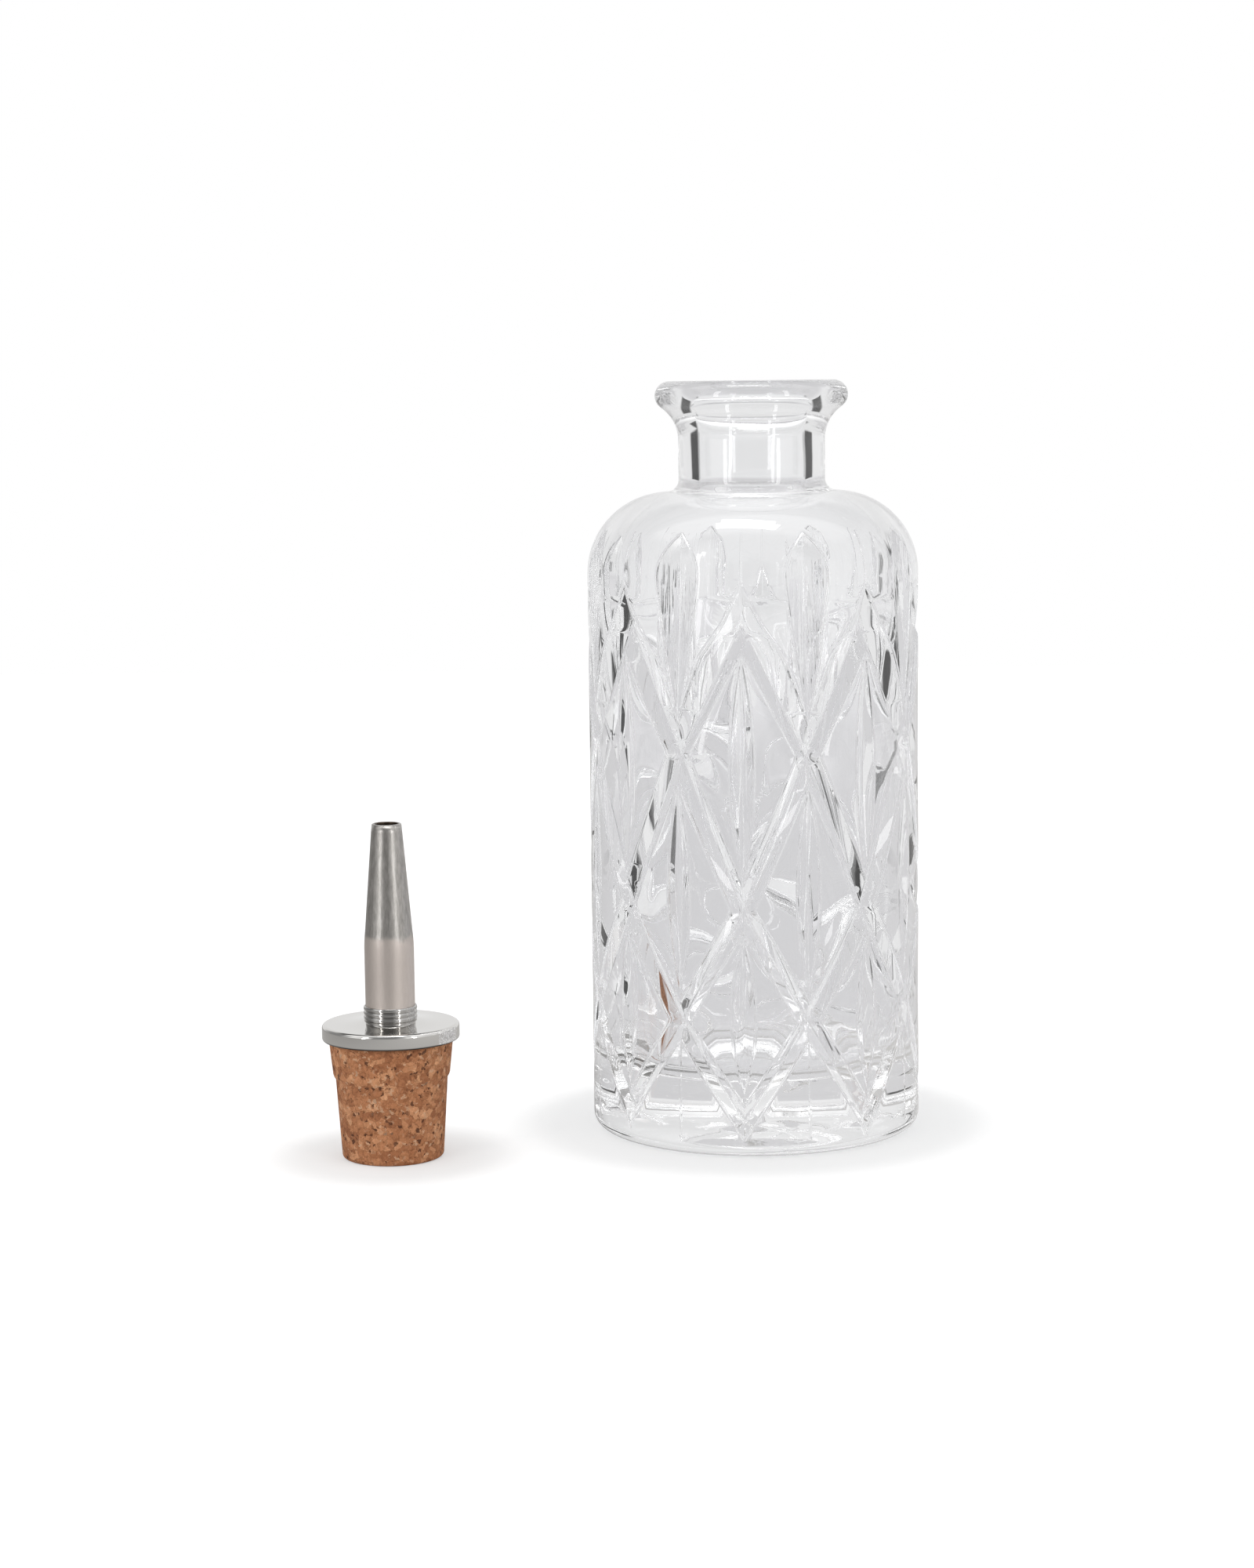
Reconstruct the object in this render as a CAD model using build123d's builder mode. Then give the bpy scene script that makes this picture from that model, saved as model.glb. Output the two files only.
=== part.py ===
from build123d import *
from math import asin, atan2, cos, degrees, radians, sin, sqrt
import os

# Glass bottle: overall sizes
bottle_height = 132.0
body_radius = 29.05
wall = 4.75
floor_height = 12.0
floor_corner = 5.0

# Foot: a flat ring to stand on, round a shallow punt
foot_corner = 2.5
foot_ring_width = 4.5
punt_height = 1.6

# Shoulder, neck and lip; the glass thins from the body's wall to the shoulder's
neck_length = 19.3
shoulder_radius = 14.2
shoulder_wall = 2.4
neck_radius = 12.85
neck_foot_round = 2.2
flare_round = 6.9
lip_radius = 16.9
lip_bead = 2.55

# Bore: a standard inside diameter for bar-top corks, opened a little at the mouth
bore_radius = 9.25
mouth_radius = 10.2
mouth_round = 3.9
mouth_taper_depth = 7.5
throat_round = 2.6

# Cut pattern: crossing bands of V grooves, with a leaf cut in each diamond
columns = 8
front_column_angle = -94.3
pattern_foot = 6.2
pattern_shoulder_gap = 6.9
row_height_shares = (1.0, 0.742, 0.426, 0.207, 0.0)
band_depth = 0.6
band_half_slope = 2.05
band_overlap = 3.0
leaf_depth = 1.15
leaf_half_slope = 2.8
leaf_end_gap = 5.2
flute_shoulder_gap = 6.1
flute_depth = 0.25
flute_half_slope = 1.85
wheel_overlap = 2.0
cut_overrun = 1.0

# Stopper: where it stands beside the bottle, and its cork
stopper_x = -62.8
stopper_y = -24.9
cork_length = 20.6
cork_foot_radius = 8.75
cork_edge = 0.5
cork_ring_height = 13.9
cork_ring_radius = 9.62
cork_ring_step = 0.42
cork_head_radius = 10.65

# Steel disc, collar and spout
disc_radius = 11.8
disc_rim = 2.75
disc_edge = 0.65
disc_foot_edge = 0.4
disc_rise = 0.6
disc_seat_radius = 5.2
collar_height = 2.45
collar_wall = 0.3
collar_beads = 3
spout_radius = 4.25
spout_wall = 0.6
spout_tip_radius = 2.55
spout_straight = 13.85
spout_cone = 20.0
spout_tip_round = 0.2

# Hidden stem and restrictor
stem_radius = 3.0
stem_wall = 0.9
stem_recess = 0.3
stem_flare_radius = 4.1
stem_flare_thickness = 0.5
stem_reach = 8.0
restrictor_height = 3.0
restrictor_hole_radius = 1.0
restrictor_funnel = 1.2
fit_clearance = 0.05


# Sizes that follow from the ones above
inner_radius = body_radius - wall
shoulder_height = bottle_height - neck_length
shoulder_centre = Vector(body_radius - shoulder_radius, shoulder_height - shoulder_radius)
vault_radius = shoulder_radius - shoulder_wall
vault_centre = Vector(inner_radius - vault_radius, shoulder_centre.Y)
bead_centre = Vector(lip_radius - lip_bead, bottle_height - lip_bead)
flare_across = neck_radius + flare_round - bead_centre.X
flare_centre = Vector(neck_radius + flare_round,
                      bead_centre.Y - sqrt((flare_round + lip_bead) ** 2 - flare_across ** 2))
flare_turn = degrees(atan2(bead_centre.Y - flare_centre.Y, flare_across))
foot_outer = body_radius - foot_corner
foot_inner = foot_outer - foot_ring_width
punt_sphere = (foot_inner ** 2 + punt_height ** 2) / (2 * punt_height)
column_angle = 360 / columns
pattern_height = shoulder_centre.Y - pattern_shoulder_gap - pattern_foot
flute_top = shoulder_height - flute_shoulder_gap
flute_top_radius = shoulder_centre.X + sqrt(shoulder_radius ** 2 - (flute_top - shoulder_centre.Y) ** 2)
rows = [pattern_foot + share * pattern_height for share in row_height_shares]


def corner_round(round_centre, round_radius, corner_x, corner_radius):
    """Centre of the hollow corner round on top of a larger round, and the turn to where the two meet."""
    across = max(corner_x - round_centre.X, 0)
    rise = sqrt((round_radius + corner_radius) ** 2 - across ** 2)
    return Vector(corner_x, round_centre.Y + rise), degrees(atan2(rise, across))


def on_wall(angle, height, radius):
    """A point at an angle round the bottle's axis, a height and a radius."""
    return Vector(radius * cos(radians(angle)), radius * sin(radians(angle)), height)


def cutting_wheel(angle, foot, head, depth):
    """The start plane, axle and turn of a V-rimmed wheel that cuts between two points of the outline."""
    low, high = on_wall(angle, foot.Y, foot.X), on_wall(angle, head.Y, head.X)
    half_length = (high - low).length / 2
    wheel_radius = (half_length ** 2 + depth ** 2) / (2 * depth)
    half_turn = asin((half_length + wheel_overlap) / wheel_radius)
    sideways = on_wall(angle + 90, 0, 1)
    along = (high - low).normalized()
    outward = sideways.cross(along)
    centre = (low + high) / 2 + outward * (wheel_radius - depth)
    inward = outward * -cos(half_turn) - along * sin(half_turn)
    plane = Plane(origin=centre + inward * wheel_radius, x_dir=inward * -1, z_dir=sideways.cross(inward))
    return plane, Axis(centre, sideways), 2 * degrees(half_turn)


# Bands of one half column: straight V grooves that zigzag between the column's own line and the half line
# beside it, mitred on both lines where bands meet. A straight cut is deepest midway, as a cutting
# wheel leaves it.
with BuildPart() as half_bands:
    half_column_angle = column_angle / 2
    opening = band_depth + cut_overrun
    spread = opening * band_half_slope
    for upper in range(len(rows) - 1):
        ends = [on_wall(front_column_angle + (half_column_angle if row % 2 else 0), rows[row],
                        body_radius - band_depth) for row in (upper, upper + 1)]
        heading = (ends[1] - ends[0]).normalized()
        outward = on_wall(front_column_angle + half_column_angle / 2, 0, 1)
        with BuildSketch(Plane(origin=ends[0] - heading * band_overlap, x_dir=outward, z_dir=heading)):
            with BuildLine():
                Polyline((0, 0), (opening, spread), (opening, -spread), close=True)
            make_face()
        extrude(amount=(ends[1] - ends[0]).length + 2 * band_overlap)
    with BuildSketch(Plane.XY):
        with BuildLine():
            reach = 2 * body_radius
            Polyline((0, 0), on_wall(front_column_angle, 0, reach),
                     on_wall(front_column_angle + half_column_angle, 0, reach), close=True)
        make_face()
    extrude(amount=bottle_height, mode=Mode.INTERSECT)

# Leaf cuts of one column: three in its diamonds, and one flute that runs up and out over the shoulder
with BuildPart() as leaf_cuts:
    half_line = front_column_angle + column_angle / 2
    leaves = [(front_column_angle, rows[2] + leaf_end_gap, rows[0] - leaf_end_gap),
              (half_line, rows[3] + leaf_end_gap, rows[1] - leaf_end_gap),
              (front_column_angle, rows[4] + leaf_end_gap, rows[2] - leaf_end_gap)]
    cuts = [(angle, Vector(body_radius, low), Vector(body_radius, high), leaf_depth, leaf_half_slope)
            for angle, low, high in leaves]
    cuts.append((half_line, Vector(body_radius, rows[1] + leaf_end_gap), Vector(flute_top_radius, flute_top),
                 flute_depth, flute_half_slope))
    for angle, foot, head, depth, half_slope in cuts:
        plane, axle, turn = cutting_wheel(angle, foot, head, depth)
        opening = depth + foot.X - head.X + cut_overrun
        spread = opening * half_slope
        with BuildSketch(plane):
            with BuildLine():
                Polyline((0, 0), (opening, spread), (opening, -spread), close=True)
            make_face()
        revolve(axis=axle, revolution_arc=turn)

# Glass bottle: one closed outline, turned round the axis, then cut
with BuildPart() as glass_bottle:
    with BuildSketch(Plane.XZ):
        with BuildLine():
            punt = CenterArc((0, punt_height - punt_sphere), punt_sphere, 90, -degrees(asin(foot_inner / punt_sphere)))
            foot = CenterArc((foot_outer, foot_corner), foot_corner, -90, 90)
            neck_foot_centre, shoulder_turn = corner_round(shoulder_centre, shoulder_radius,
                                                           neck_radius + neck_foot_round, neck_foot_round)
            shoulder = CenterArc(shoulder_centre, shoulder_radius, 0, shoulder_turn)
            neck_foot = CenterArc(neck_foot_centre, neck_foot_round, 180 + shoulder_turn, -shoulder_turn)
            flare = CenterArc(flare_centre, flare_round, 180, -flare_turn)
            bead = CenterArc(bead_centre, lip_bead, -flare_turn, 90 + flare_turn)
            mouth = CenterArc((mouth_radius + mouth_round, bottle_height - mouth_round), mouth_round, 90, 90)
            throat_centre, vault_turn = corner_round(vault_centre, vault_radius,
                                                     bore_radius + throat_round, throat_round)
            throat = CenterArc(throat_centre, throat_round, 180, vault_turn)
            vault = CenterArc(vault_centre, vault_radius, vault_turn, -vault_turn)
            bowl = CenterArc((inner_radius - floor_corner, floor_height + floor_corner), floor_corner, 0, -90)
            Line(punt @ 1, foot @ 0)
            Line(foot @ 1, shoulder @ 0)
            if shoulder_centre.X > neck_foot_centre.X:
                Line(shoulder @ 1, neck_foot @ 0)
            Line(neck_foot @ 1, flare @ 0)
            Line(bead @ 1, mouth @ 0)
            taper = Line(mouth @ 1, (bore_radius, bottle_height - mouth_taper_depth))
            Line(taper @ 1, throat @ 0)
            if vault_centre.X > throat_centre.X:
                Line(throat @ 1, vault @ 0)
            Line(vault @ 1, bowl @ 0)
            floor = Line(bowl @ 1, (0, floor_height))
            Line(floor @ 1, punt @ 0)
        make_face()
    revolve(axis=Axis.Z)
    mirror_plane = Plane(origin=(0, 0, 0), x_dir=(0, 0, 1), z_dir=on_wall(front_column_angle + 90, 0, 1))
    with PolarLocations(0, columns):
        add(half_bands.part, mode=Mode.SUBTRACT)
        add(half_bands.part.mirror(mirror_plane), mode=Mode.SUBTRACT)
        add(leaf_cuts.part, mode=Mode.SUBTRACT)

# The stopper's pieces share one upright plane through its own axis
stopper_plane = Plane(origin=(stopper_x, stopper_y, 0), x_dir=(1, 0, 0), z_dir=(0, -1, 0))
stopper_axis = Axis((stopper_x, stopper_y, 0), (0, 0, 1))
disc_seat = cork_length + disc_rim + disc_rise
stem_bore = stem_radius - stem_wall
stem_top = disc_seat + stem_reach
spout_bore = spout_radius - spout_wall

# Cork: tapered plug with the step that the bottle's mouth has pressed into it
with BuildPart() as cork:
    with BuildSketch(stopper_plane):
        with BuildLine():
            recess = stem_recess + stem_flare_thickness
            Polyline((stem_radius + fit_clearance, cork_length),
                     (stem_radius + fit_clearance, recess),
                     (stem_flare_radius + fit_clearance, recess),
                     (stem_flare_radius + fit_clearance, 0),
                     (cork_foot_radius - cork_edge, 0),
                     (cork_foot_radius, cork_edge),
                     (cork_ring_radius, cork_ring_height),
                     (cork_ring_radius + cork_ring_step, cork_ring_height + cork_ring_step),
                     (cork_head_radius, cork_length), close=True)
        make_face()
    revolve(axis=stopper_axis)

# Flange disc: polished, its top slightly hollow and climbing to its seat for the spout
with BuildPart() as flange_disc:
    with BuildSketch(stopper_plane):
        with BuildLine():
            rim_top = cork_length + disc_rim
            inner = Line((disc_seat_radius, disc_seat), (stem_radius + fit_clearance, disc_seat))
            bore = Line(inner @ 1, (stem_radius + fit_clearance, cork_length))
            under = Line(bore @ 1, (disc_radius - disc_foot_edge, cork_length))
            low_edge = CenterArc((disc_radius - disc_foot_edge, cork_length + disc_foot_edge),
                                 disc_foot_edge, -90, 90)
            side = Line(low_edge @ 1, (disc_radius, rim_top - disc_edge))
            high_edge = CenterArc((disc_radius - disc_edge, rim_top - disc_edge), disc_edge, 0, 90)
            SagittaArc(high_edge @ 1, inner @ 0, disc_rise / 4)
        make_face()
    revolve(axis=stopper_axis)

# Collar: three polished beads round the foot of the spout
with BuildPart() as collar:
    with BuildSketch(stopper_plane):
        with BuildLine():
            bead_height = collar_height / collar_beads
            collar_inner = spout_radius + fit_clearance
            collar_outer = collar_inner + collar_wall / 2
            low = Line((collar_outer, disc_seat), (collar_inner, disc_seat))
            Line(low @ 1, (collar_inner, disc_seat + collar_height))
            Line((collar_inner, disc_seat + collar_height), (collar_outer, disc_seat + collar_height))
            for step in range(collar_beads):
                bottom = disc_seat + step * bead_height
                ThreePointArc((collar_outer, bottom), (collar_outer + collar_wall / 2, bottom + bead_height / 2),
                              (collar_outer, bottom + bead_height))
        make_face()
    revolve(axis=stopper_axis)

# Spout: straight tube with a drawn cone, open at the tip
with BuildPart() as spout:
    with BuildSketch(stopper_plane):
        with BuildLine():
            cone_foot = disc_seat + spout_straight
            tip = cone_foot + spout_cone
            Polyline((spout_bore, disc_seat), (spout_radius, disc_seat), (spout_radius, cone_foot),
                     (spout_tip_radius, tip), (spout_tip_radius - spout_wall, tip),
                     (spout_bore, cone_foot), close=True)
        make_face()
    revolve(axis=stopper_axis)
    tip_edges = spout.edges().filter_by(GeomType.CIRCLE).group_by(Axis.Z)[-1]
    fillet(tip_edges, radius=spout_tip_round)

# Stem tube: passes through cork and disc, and its flared foot holds the cork
with BuildPart() as stem_tube:
    with BuildSketch(stopper_plane):
        with BuildLine():
            Polyline((stem_bore, stem_recess), (stem_flare_radius, stem_recess),
                     (stem_flare_radius, stem_recess + stem_flare_thickness),
                     (stem_radius, stem_recess + stem_flare_thickness),
                     (stem_radius, stem_top), (stem_bore, stem_top), close=True)
        make_face()
    revolve(axis=stopper_axis)

# Drip restrictor: pierced plug on top of the stem, held by the spout's bore
with BuildPart() as drip_restrictor:
    with BuildSketch(stopper_plane):
        with BuildLine():
            plug_radius = spout_bore - fit_clearance
            plug_top = stem_top + restrictor_height
            Polyline((restrictor_hole_radius, stem_top), (plug_radius, stem_top), (plug_radius, plug_top),
                     (restrictor_hole_radius + restrictor_funnel, plug_top),
                     (restrictor_hole_radius, plug_top - restrictor_funnel), close=True)
        make_face()
    revolve(axis=stopper_axis)

glass_bottle.part.label = "glass_bottle"
cork.part.label = "cork"
flange_disc.part.label = "flange_disc"
collar.part.label = "collar"
spout.part.label = "spout"
stem_tube.part.label = "stem_tube"
drip_restrictor.part.label = "drip_restrictor"

os.makedirs("parts", exist_ok=True)
export_step(glass_bottle.part, "parts/glass_bottle.step")
export_step(cork.part, "parts/cork.step")
export_step(flange_disc.part, "parts/flange_disc.step")
export_step(collar.part, "parts/collar.step")
export_step(spout.part, "parts/spout.step")
export_step(stem_tube.part, "parts/stem_tube.step")
export_step(drip_restrictor.part, "parts/drip_restrictor.step")
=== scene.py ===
import random
from math import atan2, cos, hypot, pi, radians, sin, sqrt, tau

import bpy
from mathutils import Matrix, Vector


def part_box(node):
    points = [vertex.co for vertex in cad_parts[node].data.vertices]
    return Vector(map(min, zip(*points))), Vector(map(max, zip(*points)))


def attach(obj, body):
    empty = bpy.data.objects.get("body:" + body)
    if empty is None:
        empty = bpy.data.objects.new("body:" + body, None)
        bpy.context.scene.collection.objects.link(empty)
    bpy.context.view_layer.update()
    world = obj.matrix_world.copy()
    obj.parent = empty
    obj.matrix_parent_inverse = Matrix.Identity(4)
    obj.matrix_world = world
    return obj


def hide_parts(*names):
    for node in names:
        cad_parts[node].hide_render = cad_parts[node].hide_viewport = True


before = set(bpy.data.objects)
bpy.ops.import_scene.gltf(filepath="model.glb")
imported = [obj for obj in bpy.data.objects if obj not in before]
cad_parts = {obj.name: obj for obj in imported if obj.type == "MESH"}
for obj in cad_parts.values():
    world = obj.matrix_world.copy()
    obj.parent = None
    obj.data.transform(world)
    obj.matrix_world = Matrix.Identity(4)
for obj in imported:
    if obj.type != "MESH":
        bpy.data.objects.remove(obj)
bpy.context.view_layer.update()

# Glass bottle, in metres: overall sizes come from the frame, the others are its own
glass_low, glass_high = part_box("glass_bottle")
bottle_height = glass_high.z
body_radius = (glass_high.x - glass_low.x) / 2
wall = 0.00475
floor_height = 0.012
floor_corner = 0.005
foot_corner = 0.0025
foot_ring_width = 0.0045
foot_ring_round = 0.0008
punt_height = 0.0016
punt_share_drawn = 0.96
neck_length = 0.0193
shoulder_radius = 0.0142
shoulder_wall = 0.0024
neck_radius = 0.01285
neck_foot_round = 0.0022
flare_round = 0.0069
lip_radius = 0.0169
lip_bead = 0.00255
bore_radius = 0.00925
mouth_radius = 0.0102
mouth_round = 0.0039
mouth_taper_depth = 0.0075
throat_round = 0.0026
shoulder_height = bottle_height - neck_length
inner_radius = body_radius - wall
shoulder_start = shoulder_height - shoulder_radius
vault_radius = shoulder_radius - shoulder_wall

# The inside is blown, so it is never quite round or straight. Each wave has a height, waves round, waves up
# and a shift
bore_waves = ((0.00005, 2, 300, 0.0), (0.00003, 3, -520, 0.8))
inside_waves = ((0.00007, 3, 140, 0.0), (0.00005, 5, -230, 1.3))

# Cut pattern of the bottle. A half slope is how far the side of a cut reaches out for its depth
columns = 8
front_column_angle = radians(-94.3)
row_heights = (0.0916, 0.0696, 0.0426, 0.0239, 0.0062)
row_width_shares = (1.05, 0.9, 0.86, 0.82, 0.76)
node_wander = 0.0006
band_half_width = 0.0021
band_half_slope = 1.05
leaf_depth = 0.00115
leaf_half_slope = 1.8
leaf_end_gap = 0.0050
flute_top = shoulder_height - 0.0061
flute_depth = 0.00025
flute_half_slope = 1.85
edge_round = 0.0002
half_width = body_radius * pi / columns

# The top cut opens towards the shoulder: how much wider its outer side is, from its apex (0) to its first
# crossing (1)
top_cut_opening = ((0.0, 0.36), (0.25, 0.85), (0.5, 0.68), (0.8, 0.25), (1.0, 0.0))

# Lines of the mesh in each half column: which line follows which edge of the cuts, and the least room
# between them
lines_per_half = 22
leaf_edge_line, near_edge_line, band_middle_line, far_edge_line, flute_edge_line = 4, 8, 11, 14, 18
edge_step = 0.0002
line_room = 0.00008
cut_row_step = 0.00068
above_flutes = 0.0006

# How near two measures are taken as the same, and how far from its neighbours the blown inside starts
near = 1e-5
bore_near = 1e-4
inside_margin = 0.001
outside_margin = 0.003

# What a vertex outside the cut pattern says of its place in the cuts
far_outside_cuts = -0.01
far_off_middle = 0.01


def arc(centre, radius, start, end, steps):
    """Points on an arc in the outline's plane, from a start angle to an end angle in degrees."""
    turns = [radians(start + (end - start) * step / steps) for step in range(steps + 1)]
    return [(centre[0] + radius * cos(turn), centre[1] + radius * sin(turn)) for turn in turns]


def corner_round(round_centre, round_radius, corner_across, corner_radius):
    """Centre of the hollow corner round on top of a larger round, and the turn to where the two meet."""
    across = max(corner_across - round_centre[0], 0)
    rise = sqrt((round_radius + corner_radius) ** 2 - across ** 2)
    return (corner_across, round_centre[1] + rise), atan2(rise, across) * 180 / pi


def straight(start, end, steps):
    """Evenly spaced points from one point of the outline to another."""
    return [tuple(a + (b - a) * step / steps for a, b in zip(start, end)) for step in range(steps + 1)]


def only(piece):
    """Makes one piece the only one selected."""
    bpy.ops.object.select_all(action="DESELECT")
    piece.select_set(True)
    bpy.context.view_layer.objects.active = piece


def turned_piece(name, outline, centre, steps, start=0.0):
    """A piece turned like on a lathe: one vertex is drawn along the outline, which is then spun."""
    across = Vector((cos(start), sin(start), 0))
    places = [Vector((centre[0], centre[1], z)) + across * r for r, z in outline]
    places = places[:1] + [b for a, b in zip(places, places[1:]) if (b - a).length > 1e-7]
    bpy.ops.object.select_all(action="DESELECT")
    bpy.ops.mesh.primitive_plane_add(size=0.001, location=places[0])
    piece = bpy.context.object
    piece.name = piece.data.name = name
    bpy.ops.object.mode_set(mode="EDIT")
    bpy.ops.mesh.select_all(action="SELECT")
    bpy.ops.mesh.merge(type="CENTER")
    for before, after in zip(places, places[1:]):
        bpy.ops.mesh.extrude_vertices_move(TRANSFORM_OT_translate={"value": after - before})
    bpy.ops.mesh.select_all(action="SELECT")
    bpy.ops.mesh.spin(steps=steps, angle=tau, center=(centre[0], centre[1], 0), axis=(0, 0, 1))
    bpy.ops.mesh.select_all(action="SELECT")
    bpy.ops.mesh.remove_doubles(threshold=1e-6)
    bpy.ops.mesh.normals_make_consistent(inside=False)
    bpy.ops.object.mode_set(mode="OBJECT")
    only(piece)
    bpy.ops.object.transform_apply(location=True, rotation=True, scale=True)
    bpy.ops.object.shade_smooth()
    return piece


def bottle_outline():
    """The uncut bottle, from the middle of the punt up the outside and down the inside to the floor."""
    foot_outer = body_radius - foot_corner
    foot_inner = foot_outer - foot_ring_width
    punt_sphere = (foot_inner ** 2 + punt_height ** 2) / (2 * punt_height)
    bead = (lip_radius - lip_bead, bottle_height - lip_bead)
    flare_across = neck_radius + flare_round - bead[0]
    flare_drop = sqrt((flare_round + lip_bead) ** 2 - flare_across ** 2)
    flare = (neck_radius + flare_round, bead[1] - flare_drop)
    flare_turn = atan2(flare_drop, flare_across) * 180 / pi
    shoulder = (body_radius - shoulder_radius, shoulder_start)
    vault = (inner_radius - vault_radius, shoulder_start)
    neck_side = neck_radius + neck_foot_round
    neck_foot, shoulder_turn = corner_round(shoulder, shoulder_radius, neck_side, neck_foot_round)
    throat, vault_turn = corner_round(vault, vault_radius, bore_radius + throat_round, throat_round)
    cut_rows = round((shoulder_start - foot_corner) / cut_row_step)
    points = []
    for step in range(7):
        r = foot_inner * punt_share_drawn * step / 6
        points.append((r, sqrt(punt_sphere ** 2 - r ** 2) - punt_sphere + punt_height))
    points += arc((foot_inner + foot_ring_round, foot_ring_round), foot_ring_round, 200, 270, 4)
    points += arc((foot_outer, foot_corner), foot_corner, -90, 0, 8)
    points += straight((body_radius, foot_corner), (body_radius, shoulder_start), cut_rows)
    points += arc(shoulder, shoulder_radius, 0, shoulder_turn, 28)
    points += arc(neck_foot, neck_foot_round, 180 + shoulder_turn, 180, 7)
    points += straight((neck_radius, neck_foot[1]), (neck_radius, flare[1]), 3)
    points += arc(flare, flare_round, 180, 180 - flare_turn, 9)
    points += arc(bead, lip_bead, -flare_turn, 90, 13)
    points += arc((mouth_radius + mouth_round, bottle_height - mouth_round), mouth_round, 90, 180, 8)
    points += straight(points[-1], (bore_radius, bottle_height - mouth_taper_depth), 3)
    points += straight(points[-1], (bore_radius, throat[1]), 4)
    points += arc(throat, throat_round, 180, 180 + vault_turn, 7)
    points += arc(vault, vault_radius, vault_turn, 0, 16)
    points += straight(points[-1], (inner_radius, floor_height + floor_corner), 9)
    points += arc((inner_radius - floor_corner, floor_height + floor_corner), floor_corner, 0, -90, 8)
    points += straight(points[-1], (0, floor_height), 5)
    return points


def outside_radius(z):
    """Radius of the uncut outside at a height between the foot and the neck."""
    if z <= shoulder_start:
        return body_radius
    rise = min(z - shoulder_start, shoulder_radius)
    return body_radius - shoulder_radius + sqrt(shoulder_radius ** 2 - rise ** 2)


# Heights of the crossings on each upright line, each a little off, as on hand-finished glass
wander = random.Random(7)
nodes_up = [[z + wander.uniform(-node_wander, node_wander) for z in row_heights]
            for line in range(2 * columns)]


def soft_more(a, b):
    """The larger of two depths, with the edge between them rounded over."""
    blend = max(edge_round - abs(a - b), 0) / edge_round
    return max(a, b) + blend * blend * edge_round / 4


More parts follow.
